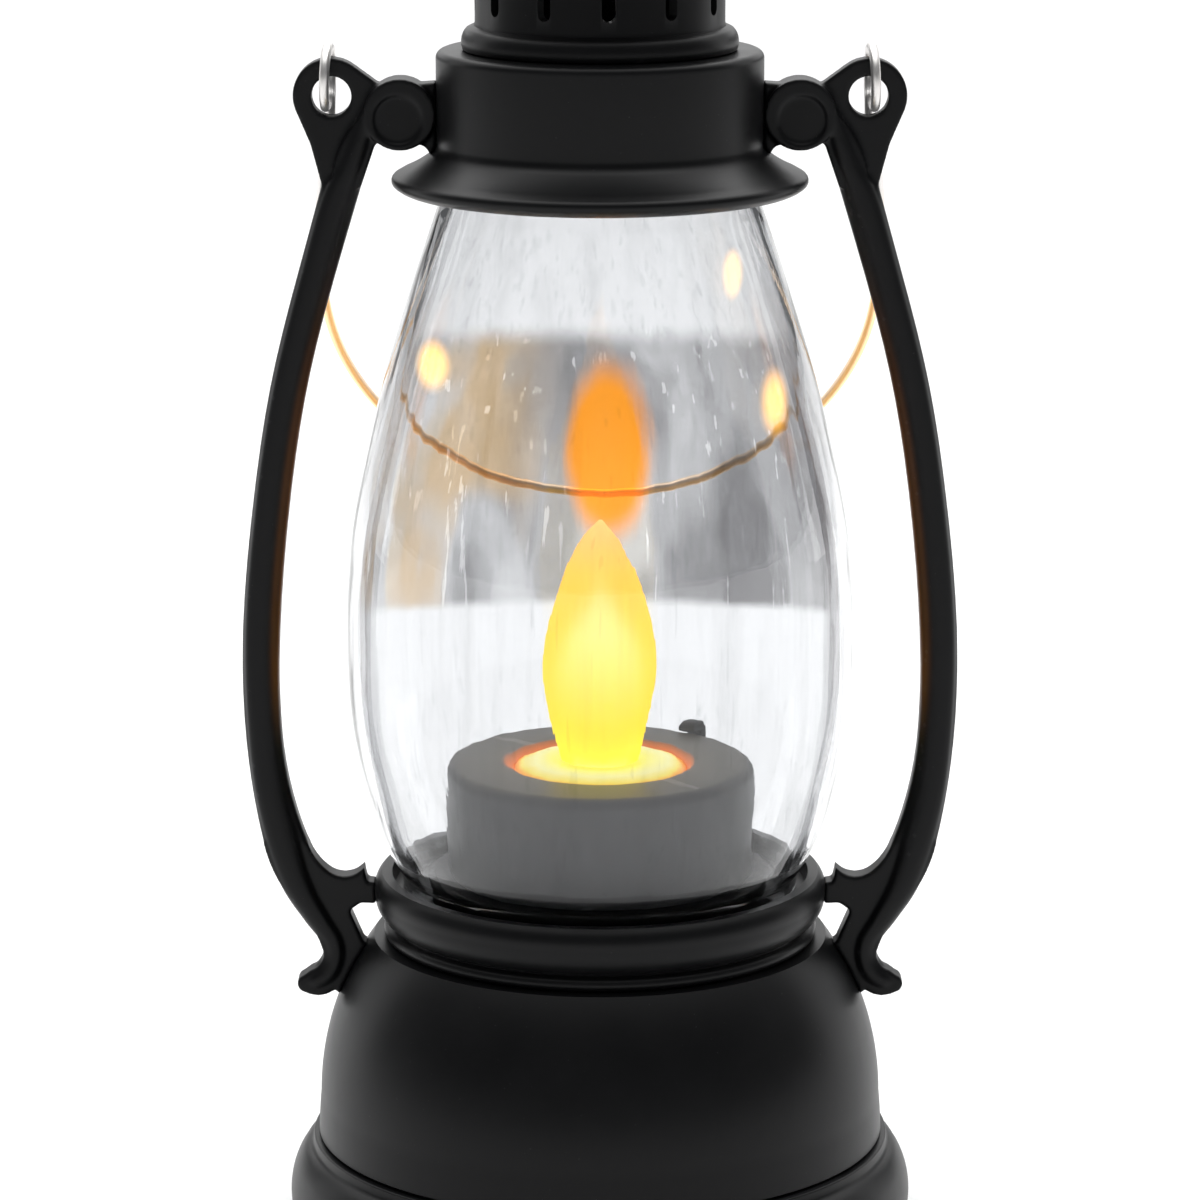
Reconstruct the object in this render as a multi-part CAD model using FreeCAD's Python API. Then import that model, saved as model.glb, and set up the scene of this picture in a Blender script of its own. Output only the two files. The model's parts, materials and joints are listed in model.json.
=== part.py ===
"""Battery candle lantern in the form of a small hurricane lamp.

Millimetres, +Z up, origin at the middle of the foot's underside, front towards -Y.
Each function makes one piece of the lantern as its own solid.
"""
import FreeCAD
import Part
import math
import os

V = FreeCAD.Vector

# --- driving dimensions -------------------------------------------------------
FOOT_R = 38.7            # widest radius of the foot
FOOT_H = 13.4            # top face of the foot ring
WALL = 1.8               # moulded wall of the base and crown
DOME_R = 35.2            # radius of the dome at its lower edge
DOME_TOP = 38.8          # flat deck on top of the dome
RIM_R = 27.8             # widest radius of the rim that carries the globe
RIM_TOP = 46.9           # flat top of that rim
RIM_STEP = 40.2          # inner step of the rim, under the seat's skirt
SEAT_R = 21.0            # black seat under the candle
SEAT_TOP = 47.3
SEAT_T = 2.0             # disc of the seat; its skirt stands on the rim's inner step
SEAT_SKIRT_R = 19.9
CANDLE_R = 19.0          # candle body
CANDLE_TOP = 60.8
CANDLE_WALL = 1.5
DISH_DEPTH = 1.6         # dish in the candle's top that the disc lies in
DISC_R = 10.9            # glowing disc in the candle's top
FLAME_R = 6.95
FLAME_TIP = 91.0
FLAME_WALL = 1.0
NECK_R = 4.8             # round neck of the flame, down in the candle
NECK_TOP = 61.3
NECK_LOW = 57.8
GLOBE_WALL = 1.6
GLOBE_FOOT = 45.2        # globe's lower edge
GLOBE_HEAD = 134.4       # globe's upper edge, inside the crown
BRIM_R = 25.1            # flared brim of the crown
COLLAR_R = 19.7
COLLAR_TOP = 148.6
CHIMNEY_R = 15.0
CHIMNEY_TOP = 163.0
SLOTS = 12               # air slots round the chimney
SLOT_W = 1.7
SLOT_LOW = 153.3
SLOT_HIGH = 160.6
SLOT_TURN = 4.0          # degrees from the front to the nearest slot
HAT_R = 19.5
TOTAL_H = 177.0
EYE_X = 32.2             # eyelet hole in each side arm
EYE_Z = 143.1
EYE_HOLE_R = 2.4
EYE_T = 2.8              # thickness of the eyelet plate
BAR_T = 5.4              # thickness of an arm's scroll
FLANGE_T = 3.4           # thickness of an arm's flat parts
RIDGE_T = 5.0            # thickness of the ridge along the arm's bar
RIBBON_T = 4.2           # thickness where the bar turns into the scroll
RIDGE_INSET = 0.9        # from the bar's edges to the ridge
DISH = 0.3               # depth of the scroll's dish
PIVOT_Z = 145.3          # axis that the bail turns on
WIRE_R = 0.6
LOOP_R = 3.65            # wire loop at each end of the bail, to the wire's middle
BAIL_LEAN = 28.7         # degrees from hanging straight down, at rest on the globe's back
ARCH_R = 34.4            # half circle at the bail's middle, and half its width
ARCH_DEPTH = 65.2        # from the axis to the arch's lowest point
SPLAY_DEPTH = 16.0       # from the axis to the bend where a leg reaches its full width
SPLAY_BEND_R = 30.0      # radius of that bend
CELL_R = 5.25            # AAA cell
CELL_L = 44.5
CELL_Z = 10.2            # middle of the cells
CELL_Y = [-10.8, 0.0, 10.8]
COVER_Z = 1.5            # underside of the bottom cover
COVER_T = 2.0
SCREW_RING_R = 29.0      # the cover's screws stand on this radius
BOSS_R = 3.2
BOSS_LOW = 3.5
BOSS_TOP = 24.0
DOOR_X = 25.0            # half sizes of the battery door
DOOR_Y = 16.2
DOOR_T = 1.5
GAP = 0.3                # running gap round a moving piece
SWITCH_Y = 24.0
SWITCH_TRAVEL = 2.5
PEG_R = 1.0              # pegs that plug an arm into rim and crown
RIM_PEG_Z = 43.8
CROWN_PEG_Z = 141.0
CLIP_W = 2.6             # clip on the seat that hooks over the candle's edge
CLIP_T = 1.3
CLIP_TURN = 51.0         # degrees from +X
BOX_TOP = 17.0           # roof of the battery box
BOX_X = 26.4             # its half sizes outside
BOX_Y = 17.4
BOX_WALL = 1.1
LED_Z = 60.0             # underside of the diode's flange
BOARD_Z = 50.0           # underside of the flicker board
BOARD_T = 1.2
LEAD_HOLE_R = 4.0
LEAD_R = 0.7
LEAD_X = 4.5


# --- helpers ------------------------------------------------------------------
def outline(start, *steps):
    """Closed face in the XZ plane. A step is (x, z), or ((x, z), (x, z)) for an arc."""
    edges = []
    here = V(start[0], 0, start[1])
    for step in steps + (start,):
        if isinstance(step[0], tuple):
            middle = V(step[0][0], 0, step[0][1])
            there = V(step[1][0], 0, step[1][1])
            edges.append(Part.Arc(here, middle, there).toShape())
        else:
            there = V(step[0], 0, step[1])
            if there.distanceToPoint(here) < 1e-6:
                continue
            edges.append(Part.makeLine(here, there))
        here = there
    return Part.Face(Part.Wire(edges))


def curve(points):
    """Smooth edge in the XZ plane through the points."""
    line = Part.BSplineCurve()
    line.interpolate([V(x, 0, z) for x, z in points])
    return line.toShape()


def turned(start, *steps):
    """Solid of revolution about Z of an outline."""
    return outline(start, *steps).revolve(V(0, 0, 0), V(0, 0, 1), 360)


def slab(face, thick, y=0.0):
    """Plate of an XZ outline, thick along Y and centred on y."""
    plate = face.extrude(V(0, thick, 0))
    plate.translate(V(0, y - thick / 2, 0))
    return plate


def rod(r, length, at, along):
    return Part.makeCylinder(r, length, V(*at), V(*along))


def block(x0, x1, y0, y1, z0, z1):
    return Part.makeBox(x1 - x0, y1 - y0, z1 - z0, V(x0, y0, z0))


def joined(*shapes):
    whole = shapes[0]
    for shape in shapes[1:]:
        whole = whole.fuse(shape)
    return whole.removeSplitter()


def group(shapes):
    return Part.makeCompound(shapes)


def wire_along(points, radius, bend):
    """Round wire on straight runs joined by tangent arcs of one bend radius."""
    path = [V(*p) for p in points]
    edges = []
    here = path[0]
    for i in range(1, len(path) - 1):
        back = (path[i - 1] - path[i]).normalize()
        ahead = (path[i + 1] - path[i]).normalize()
        half = back.getAngle(ahead) / 2
        cut = bend / math.tan(half)
        start = path[i] + back * cut
        end = path[i] + ahead * cut
        inward = (back + ahead).normalize()
        middle = path[i] + inward * (bend / math.sin(half) - bend)
        edges.append(Part.makeLine(here, start))
        edges.append(Part.Arc(start, middle, end).toShape())
        here = end
    edges.append(Part.makeLine(here, path[-1]))
    spine = Part.Wire(edges)
    ring = Part.Wire(Part.makeCircle(radius, path[0], path[1] - path[0]))
    return spine.makePipeShell([ring], True, False)


# Outer sides that other pieces are fitted against.
DOME_SIDE = [((35.1, 16.0), (34.9, 18.6)), ((33.3, 28.7), (28.1, DOME_TOP))]
RIM_SIDE = [(26.3, DOME_TOP), ((26.75, 39.75), (26.3, 40.7)), (26.0, 40.9), ((27.4, 41.9), (RIM_R, 43.8)),
            ((27.7, 45.8), (27.0, 46.75)), (26.6, RIM_TOP)]
CROWN_SIDE = [((22.6, 131.55), (24.3, 132.0)), ((BRIM_R, 132.7), (24.7, 133.7)),
              ((22.3, 135.0), (20.4, 136.2)), ((19.85, 136.8), (COLLAR_R, 137.8)),
              (COLLAR_R, COLLAR_TOP - 0.9)]


# --- base ---------------------------------------------------------------------
def foot_ring():
    return turned((34.7, 0), (36.6, 0), ((38.1, 1.0), (38.6, 3.4)), ((FOOT_R, 7.2), (37.8, 10.0)),
                  ((36.9, 11.4), (35.75, 12.0)), (35.75, FOOT_H - 0.3), (35.45, FOOT_H),
                  (33.4, FOOT_H), (33.4, COVER_Z + COVER_T), (34.7, COVER_Z + COVER_T))


SCREW_AT = [(SCREW_RING_R * math.cos(math.radians(a)), SCREW_RING_R * math.sin(math.radians(a)))
            for a in (55, 125, 270)]


def font_shell():
    """Domed shell with a flat deck, a spigot in the foot ring and three screw bosses."""
    shell = turned((33.2, FOOT_H), (DOME_R - 0.3, FOOT_H), (DOME_R, FOOT_H + 0.3), *DOME_SIDE,
                   (18.5, DOME_TOP), (18.5, DOME_TOP - WALL), (27.1, DOME_TOP - WALL),
                   ((31.6, 28.2), (33.1, 18.6)), (33.1, 15.0), (31.7, FOOT_H + 0.2), (31.7, 10.0),
                   (33.2, 10.0))
    keep = rod(33.15, BOSS_TOP, (0, 0, BOSS_LOW), (0, 0, 1))
    for x, y in SCREW_AT:
        boss = rod(BOSS_R, BOSS_TOP - BOSS_LOW, (x, y, BOSS_LOW), (0, 0, 1))
        rib = block(0, 5.0, -0.7, 0.7, 10.5, BOSS_TOP)
        rib.rotate(V(0, 0, 0), V(0, 0, 1), math.degrees(math.atan2(y, x)))
        rib.translate(V(x, y, 0))
        shell = shell.fuse(boss.fuse(rib).common(keep))
        shell = shell.cut(rod(1.0, 10.0, (x, y, BOSS_LOW), (0, 0, 1)))
    return shell.removeSplitter()


def gallery_ring():
    """Beaded rim: a bead under a wide rounded ring with an inner seat for the globe."""
    floor = GLOBE_FOOT - 0.1
    ring = turned((19.0, DOME_TOP), *RIM_SIDE, (25.75, RIM_TOP), (25.4, floor), (20.2, floor),
                  (20.2, 43.6), (23.6, 43.6), (23.6, RIM_STEP), (19.0, RIM_STEP))
    for side in (-1, 1):
        ring = ring.cut(rod(PEG_R, 4.0, (side * 24.3, 0, RIM_PEG_Z), (side, 0, 0)))
    return ring


def candle_seat():
    """Round black seat with a small clip that hooks the candle at its rear right."""
    under = SEAT_TOP - SEAT_T
    skirt_r = SEAT_SKIRT_R
    skirt_low = RIM_STEP + 0.1
    chamfer = 0.4
    seat = turned((LEAD_HOLE_R, under), (skirt_r - 1.3, under), (skirt_r - 1.3, skirt_low),
                  (skirt_r, skirt_low), (skirt_r, GLOBE_FOOT), (SEAT_R, GLOBE_FOOT),
                  (SEAT_R, SEAT_TOP - chamfer), (SEAT_R - chamfer, SEAT_TOP), (LEAD_HOLE_R, SEAT_TOP))
    inner = CANDLE_R + 0.15
    outer = inner + CLIP_T
    over = CANDLE_TOP + 0.1
    half = CLIP_W / 2
    post = block(inner, outer, -half, half, SEAT_TOP - 0.5, over + CLIP_T)
    hook = block(CANDLE_R - 1.7, outer, -half, half, over, over + CLIP_T)
    clip = joined(post, hook)
    clip.rotate(V(0, 0, 0), V(0, 0, 1), CLIP_TURN)
    return joined(seat, clip)


def bottom_cover():
    z0 = COVER_Z
    z1 = COVER_Z + COVER_T
    plate = turned((0, z0), (34.1, z0), (34.4, z0 + 0.3), (34.4, z1), (0, z1))
    plate = plate.cut(block(-DOOR_X - GAP, DOOR_X + GAP, -DOOR_Y - GAP, DOOR_Y + GAP, z0, z1))
    plate = plate.cut(block(-3.4, 3.4, SWITCH_Y - 1.5, SWITCH_Y + 1.5, z0, z1))
    for x, y in SCREW_AT:
        plate = plate.cut(rod(1.35, COVER_T, (x, y, z0), (0, 0, 1)))
        plate = plate.cut(rod(2.5, 1.2, (x, y, z0), (0, 0, 1)))
    return plate


def cover_screws():
    """Three self-tapping screws with cross slots."""
    screws = []
    for x, y in SCREW_AT:
        head = rod(2.3, 1.1, (x, y, COVER_Z + 0.1), (0, 0, 1))
        shank = rod(0.98, 9.0, (x, y, COVER_Z + 1.2), (0, 0, 1))
        screw = head.fuse(shank)
        for a in (0, 90):
            slot = block(-1.4, 1.4, -0.25, 0.25, 0, 0.7)
            slot.rotate(V(0, 0, 0), V(0, 0, 1), a)
            slot.translate(V(x, y, COVER_Z + 0.1))
            screw = screw.cut(slot)
        screws.append(screw.removeSplitter())
    return group(screws)


def battery_door():
    """Door with a round hinge edge at the front and a finger notch at the back."""
    z0 = COVER_Z
    knuckle_y = -DOOR_Y + DOOR_T / 2
    plate = block(-DOOR_X, DOOR_X, knuckle_y, DOOR_Y, z0, z0 + DOOR_T)
    edge = rod(DOOR_T / 2, 2 * DOOR_X, (-DOOR_X, knuckle_y, z0 + DOOR_T / 2), (1, 0, 0))
    door = plate.fuse(edge)
    door = door.cut(rod(4.0, 3.0, (0, DOOR_Y + 1.0, z0 - 2.3), (0, 0, 1)))
    for i in range(5):
        y = 5.0 + 1.8 * i
        door = door.cut(block(-6.0, 6.0, y, y + 0.7, z0, z0 + 0.35))
    return door.removeSplitter()


def battery_box():
    """Tray for three cells, open downwards, with a flange on the bottom cover."""
    z0 = COVER_Z + COVER_T
    roof = BOX_TOP - BOX_WALL
    body = block(-BOX_X, BOX_X, -BOX_Y, BOX_Y, z0, BOX_TOP)
    body = body.cut(block(BOX_WALL - BOX_X, BOX_X - BOX_WALL, BOX_WALL - BOX_Y, BOX_Y - BOX_WALL, z0, roof))
    for side in (-1, 1):
        rib_y = side * CELL_Y[2] / 2
        body = body.fuse(block(-14.0, 14.0, rib_y - 0.6, rib_y + 0.6, 13.6, roof + 0.1))
    return body.common(rod(31.4, BOX_TOP, (0, 0, 0), (0, 0, 1))).removeSplitter()


def batteries():
    """Three AAA cells, the middle one turned round."""
    cells = []
    for i, y in enumerate(CELL_Y):
        face = outline((0, 0), (CELL_R - 0.4, 0), (CELL_R, 0.4), (CELL_R, 43.1), (4.6, 43.7),
                       (1.9, 43.7), (1.9, CELL_L), (0, CELL_L))
        cell = face.revolve(V(0, 0, 0), V(0, 0, 1), 360)
        cell.translate(V(0, 0, -CELL_L / 2))
        cell.rotate(V(0, 0, 0), V(0, 1, 0), 90 if i % 2 == 0 else -90)
        cell.translate(V(0, y, CELL_Z))
        cells.append(cell)
    return group(cells)


def spring_contacts():
    """A plate and a coil spring at the flat end of each cell."""
    parts = []
    for i, y in enumerate(CELL_Y):
        side = -1 if i % 2 == 0 else 1
        plate = block(24.9, 25.25, -4.2, 4.2, -4.0, 4.0)
        coil = []
        for turn in range(3):
            ring = Part.makeTorus(2.6 + 0.3 * turn, 0.25, V(22.7 + 0.62 * turn, 0, 0), V(1, 0, 0))
            coil.append(ring)
        link = block(22.9, 24.95, -0.25, 0.25, 2.55, 3.1)
        spring = joined(plate, link, *coil)
        if side < 0:
            spring.rotate(V(0, 0, 0), V(0, 0, 1), 180)
        spring.translate(V(0, y, CELL_Z))
        parts.append(spring)
    return group(parts)


def flat_contacts():
    """A dimpled plate at the button end of each cell."""
    parts = []
    for i, y in enumerate(CELL_Y):
        side = 1 if i % 2 == 0 else -1
        plate = block(24.9, 25.25, -4.2, 4.2, -4.0, 4.0)
        boss = Part.makeCone(1.6, 2.6, 2.6, V(22.3, 0, 0), V(1, 0, 0))
        contact = joined(plate, boss)
        if side < 0:
            contact.rotate(V(0, 0, 0), V(0, 0, 1), 180)
        contact.translate(V(0, y, CELL_Z))
        parts.append(contact)
    return group(parts)


def switch_body():
    z0 = COVER_Z + COVER_T
    body = block(-5.2, 5.2, SWITCH_Y - 2.4, SWITCH_Y + 2.4, z0, z0 + 4.2)
    body = body.cut(block(-3.7, 3.7, SWITCH_Y - 1.3, SWITCH_Y + 1.3, z0, z0 + 2.6))
    for x in (-3.0, 0.0, 3.0):
        body = body.fuse(block(x - 0.35, x + 0.35, SWITCH_Y - 0.2, SWITCH_Y + 0.2, z0 + 4.0, z0 + 7.0))
    return body.removeSplitter()


def switch_slider():
    """Slider shown in its on position; it travels towards -X to switch off."""
    x = SWITCH_TRAVEL / 2
    y = SWITCH_Y
    stem = block(x - 1.5, x + 1.5, y - 0.95, y + 0.95, COVER_Z - 0.2, COVER_Z + COVER_T + 2.2)
    grip = block(x - 2.0, x + 2.0, y - 1.15, y + 1.15, COVER_Z - 0.9, COVER_Z + 0.6)
    slider = stem.fuse(grip)
    for i in range(3):
        groove = x - 1.2 + 1.0 * i
        slider = slider.cut(block(groove, groove + 0.4, y - 2, y + 2, COVER_Z - 0.9, COVER_Z - 0.5))
    return slider.removeSplitter()


def lead(side):
    """Lead from the battery box up through the seat's hole to the candle's board."""
    route = [(side * LEAD_X, 0, BOX_TOP), (side * LEAD_X, 0, 26.0), (side * 2.0, 0, 36.0),
             (side * 2.0, 0, BOARD_Z)]
    return wire_along(route, LEAD_R, 5.0)


# --- candle -------------------------------------------------------------------
def tealight_cup():
    """Candle body: thin side wall, rounded edge, shallow dish with a hole for the flame."""
    r = CANDLE_R
    top = CANDLE_TOP
    inner = r - CANDLE_WALL
    dish = top - DISH_DEPTH
    hole = NECK_R + 0.8
    return turned((inner, SEAT_TOP), (r - 0.15, SEAT_TOP), (r, SEAT_TOP + 0.6), (r, top - 1.4),
                  ((r - 0.41, top - 0.41), (r - 1.4, top)), (DISC_R + 0.7, top),
                  ((DISC_R + 0.2, top - 0.2), (DISC_R, top - 0.7)), (DISC_R, dish),
                  (hole, dish), (hole, dish - 1.4), (inner, dish - 1.4))


def glow_disc():
    """Translucent disc, slightly crowned, round the foot of the flame."""
    top = CANDLE_TOP
    inner = NECK_R + 0.02
    outer = DISC_R - 0.1
    return turned((inner, top - DISH_DEPTH), (outer, top - DISH_DEPTH), (outer, top - 0.7),
                  ((8.2, top + 0.05), (inner, top + 0.35)))


def flame_face(r, tip, low, neck):
    """Half outline of the flame, from its neck to its pointed tip."""
    shoulder = (neck, NECK_TOP)
    point = (0.35, tip - 0.12)
    side = curve([shoulder, (r - 1.25, 64.6), (r - 0.2, 69.6), (r, 73.4), (r - 0.62, 77.4),
                  (r - 2.1, 82.6), (r - 4.25, tip - 3.1), point])
    corners = [point, (0, tip), (0, low), (neck, low), shoulder]
    edges = [side]
    for (r0, z0), (r1, z1) in zip(corners, corners[1:]):
        edges.append(Part.makeLine(V(r0, 0, z0), V(r1, 0, z1)))
    return Part.Face(Part.Wire(edges))


def flame_shell():
    """Hollow translucent flame on a short round neck that stands in the candle."""
    outer = flame_face(FLAME_R, FLAME_TIP, NECK_LOW, NECK_R)
    inner = flame_face(FLAME_R - FLAME_WALL, FLAME_TIP - 3 * FLAME_WALL, NECK_LOW, NECK_R - FLAME_WALL)
    axis = (V(0, 0, 0), V(0, 0, 1), 360)
    return outer.revolve(*axis).cut(inner.revolve(*axis))


def led():
    """Light-emitting diode with flange, domed lens and two legs into the board."""
    z = LED_Z
    body = turned((0, z), (2.9, z), (2.9, z + 1.0), (2.5, z + 1.0), (2.5, z + 6.1),
                  ((1.85, z + 7.8), (0.5, z + 8.6)), (0, z + 8.6))
    for x in (-1.27, 1.27):
        body = body.fuse(block(x - 0.25, x + 0.25, -0.25, 0.25, BOARD_Z + BOARD_T, z + 0.2))
    return body.removeSplitter()


def flicker_board():
    board = rod(14.0, BOARD_T, (0, 0, BOARD_Z), (0, 0, 1))
    for side in (-1, 1):
        board = board.cut(rod(1.5, BOARD_T, (0, 11.0 * side, BOARD_Z), (0, 0, 1)))
    return board


def driver_chip():
    face = BOARD_Z + BOARD_T
    chip = block(-2.0, 2.0, 4.6, 7.4, face + 0.3, face + 1.7)
    for i in range(4):
        x = -1.5 + 1.0 * i
        for y0, y1 in ((3.6, 4.8), (7.2, 8.4)):
            chip = chip.fuse(block(x - 0.2, x + 0.2, y0, y1, face, face + 0.5))
    return chip.removeSplitter()


# --- globe --------------------------------------------------------------------
GLOBE_SIDE = [(24.5, RIM_TOP), (28.2, 55.2), (30.6, 66.5), (31.05, 76.5), (29.7, 93.5),
              (26.5, 107.8), (23.1, 119.2), (19.4, 130.4)]


def globe():
    """Clear barrel-shaped globe of one even wall, open at both ends."""
    foot = (GLOBE_SIDE[0][0] - 0.1, GLOBE_FOOT)
    head = (GLOBE_SIDE[-1][0] - 0.5, GLOBE_HEAD)
    inner_side = [(r - GLOBE_WALL, z) for r, z in reversed(GLOBE_SIDE)]
    corners = [GLOBE_SIDE[-1], head, (head[0] - GLOBE_WALL, head[1]), inner_side[0]]
    heel = [inner_side[-1], (foot[0] - GLOBE_WALL, foot[1]), foot, GLOBE_SIDE[0]]
    edges = [curve(GLOBE_SIDE), curve(inner_side)]
    for path in (corners, heel):
        for (r0, z0), (r1, z1) in zip(path, path[1:]):
            edges.append(Part.makeLine(V(r0, 0, z0), V(r1, 0, z1)))
    wire = Part.Wire(Part.__sortEdges__(edges))
    return Part.Face(wire).revolve(V(0, 0, 0), V(0, 0, 1), 360)


# --- top ----------------------------------------------------------------------
def crown():
    """Flared brim, straight collar and closed top with a hole for the chimney."""
    shell = turned((20.4, 131.6), *CROWN_SIDE,
                   ((COLLAR_R - 0.26, COLLAR_TOP - 0.26), (COLLAR_R - 0.9, COLLAR_TOP)),
                   (13.2, COLLAR_TOP), (13.2, COLLAR_TOP - WALL), (COLLAR_R - WALL, COLLAR_TOP - WALL),
                   (COLLAR_R - WALL, 137.0), (16.6, 135.6), (16.6, GLOBE_HEAD), (19.6, GLOBE_HEAD),
                   (20.0, 131.6))
    for side in (-1, 1):
        shell = shell.cut(rod(PEG_R, 3.0, (side * (COLLAR_R - WALL - 0.3), 0, CROWN_PEG_Z), (side, 0, 0)))
    return shell.removeSplitter()


def chimney():
    """Slotted tube with a rounded step ring and a spigot in the crown's hole."""
    inner = CHIMNEY_R - 1.7
    tube = turned((11.6, 145.6), (13.15, 145.6), (13.15, COLLAR_TOP), (16.0, COLLAR_TOP),
                  ((16.5, 148.95), (16.55, 149.8)), ((16.3, 150.9), (15.3, 151.4)),
                  (CHIMNEY_R, 151.5), (CHIMNEY_R, CHIMNEY_TOP), (inner, CHIMNEY_TOP),
                  (inner, 149.8), (11.6, 149.8))
    half = SLOT_W / 2
    low = SLOT_LOW + half
    high = SLOT_HIGH - half
    for i in range(SLOTS):
        slot = block(12.0, 16.0, -half, half, low, high)
        for z in (low, high):
            slot = slot.fuse(rod(half, 4.0, (12.0, 0, z), (1, 0, 0)))
        slot.rotate(V(0, 0, 0), V(0, 0, 1), -90 + SLOT_TURN + i * 360 / SLOTS)
        tube = tube.cut(slot)
    return tube


def cap():
    """Hat over the chimney: rounded brim below a low dome."""
    top = CHIMNEY_TOP
    return turned((0, top + 1.2), (12.9, top + 1.2), (12.9, top - 1.6), (13.25, top - 1.6),
                  (13.25, top), (HAT_R - 1.2, top), ((HAT_R, top + 0.9), (HAT_R - 0.9, top + 2.0)),
                  ((17.2, top + 2.9), (15.4, top + 3.3)), ((9.6, top + 7.3), (3.1, top + 8.6)),
                  (3.1, top + 7.0), (0, top + 7.0))


def cap_knob():
    """Turned knob with a peg into the cap."""
    low = CHIMNEY_TOP + 7.0
    high = TOTAL_H
    return turned((0, low), (3.05, low), (3.05, low + 1.7), ((2.2, low + 2.2), (2.2, low + 2.8)),
                  ((4.3, high - 2.3), (2.3, high - 0.3)), ((1.5, high - 0.05), (0.6, high)), (0, high))


# --- side arms ----------------------------------------------------------------
OUTER_EDGE = [(33.5, 132.4), (36.1, 123.1), (39.9, 108.4), (42.4, 93.0), (43.9, 76.0),
              (43.4, 61.0), (41.7, 50.6)]
INNER_EDGE = [(36.2, 50.6), (38.85, 60.7), (39.35, 76.0), (37.9, 93.0), (35.4, 108.4),
              (31.5, 123.1), (28.7, 132.4)]


def arm_blade(outer_edge, inner_edge, thick, fillet):
    """Long curved bar of an arm between two edge curves, with rounded corners."""
    a = V(outer_edge[-1][0], 0, outer_edge[-1][1])
    b = V(inner_edge[0][0], 0, inner_edge[0][1])
    c = V(inner_edge[-1][0], 0, inner_edge[-1][1])
    d = V(outer_edge[0][0], 0, outer_edge[0][1])
    wire = Part.Wire([curve(outer_edge), Part.makeLine(a, b), curve(inner_edge), Part.makeLine(c, d)])
    blade = slab(Part.Face(wire), thick)
    long_edges = [e for e in blade.Edges if e.Length > 60]
    return blade.makeFillet(fillet, long_edges)


def arm_right():
    """Curved bar with eyelet and scroll at the top, spur and hook at the bottom."""
    flange = arm_blade(OUTER_EDGE, INNER_EDGE, FLANGE_T, 0.7)
    ridge_outer = [(x - RIDGE_INSET, z) for x, z in OUTER_EDGE]
    ridge_inner = [(x + RIDGE_INSET, z) for x, z in INNER_EDGE]
    ridge = arm_blade(ridge_outer, ridge_inner, RIDGE_T, 1.2)
    eyelet = outline((30.0, 131.4), (33.45, 132.3), (34.8, 137.4), (36.55, 141.5),
                     ((34.1, 147.3), (29.6, 146.8)), (26.6, 144.6), (25.0, 141.0), (27.0, 137.4),
                     (28.7, 132.4))
    plate = slab(eyelet, EYE_T)
    ribbon = slab(outline((28.75, 132.2), (32.3, 131.6), ((31.0, 137.4), (28.3, 141.2)),
                          ((26.7, 144.3), (23.6, 145.2)), (23.4, 141.0), (27.0, 137.3)), RIBBON_T)
    disc = rod(4.3, BAR_T, (24.0, -BAR_T / 2, 141.0), (0, 1, 0))
    dish = rod(3.0, DISH, (24.2, -BAR_T / 2, 140.4), (0, 1, 0))
    dish_back = rod(3.0, DISH, (24.2, BAR_T / 2 - DISH, 140.4), (0, 1, 0))
    web = slab(outline((17.0, 145.0), (22.0, 144.6), (21.6, 137.3), ((20.9, 136.9), (20.6, 135.0)),
                       (17.0, 135.0)), 3.4)
    foot = slab(outline((41.7, 50.6), ((40.3, 46.4), (37.9, 42.6)), ((35.5, 39.2), (34.6, 37.0)),
                        ((34.6, 35.3), (36.0, 34.1)), (36.9, 33.4), ((37.7, 32.4), (36.7, 31.2)),
                        ((34.9, 30.8), (33.0, 31.6)), (31.4, 29.6), (27.4, 36.9), (28.6, 37.4),
                        (29.4, 37.8), (31.1, 41.8), (29.7, 42.8), (26.0, 42.6), (26.0, 45.3),
                        (28.9, 45.5), (29.25, 47.4), ((31.5, 46.2), (33.7, 46.9)),
                        ((35.2, 48.5), (36.2, 50.6))),
                FLANGE_T)
    pegs = rod(PEG_R - 0.02, 5.0, (24.4, 0, RIM_PEG_Z), (1, 0, 0))
    pegs = pegs.fuse(rod(PEG_R - 0.02, 5.0, (COLLAR_R - WALL, 0, CROWN_PEG_Z), (1, 0, 0)))
    arm = joined(flange, ridge, plate, ribbon, disc, web, foot)
    arm = arm.cut(dish).cut(dish_back)
    arm = arm.cut(rod(EYE_HOLE_R, 8.0, (EYE_X, -4.0, EYE_Z), (0, 1, 0)))
    arm = arm.cut(turned((0, FOOT_H), (DOME_R, FOOT_H), *DOME_SIDE, (0, DOME_TOP)))
    arm = arm.cut(turned((0, DOME_TOP), *RIM_SIDE, (0, RIM_TOP)))
    arm = arm.cut(turned((0, 131.6), (20.4, 131.6), *CROWN_SIDE, (COLLAR_R, COLLAR_TOP), (0, COLLAR_TOP)))
    return joined(arm, pegs)


def arm_left():
    return arm_right().mirror(V(0, 0, 0), V(1, 0, 0))


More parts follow.
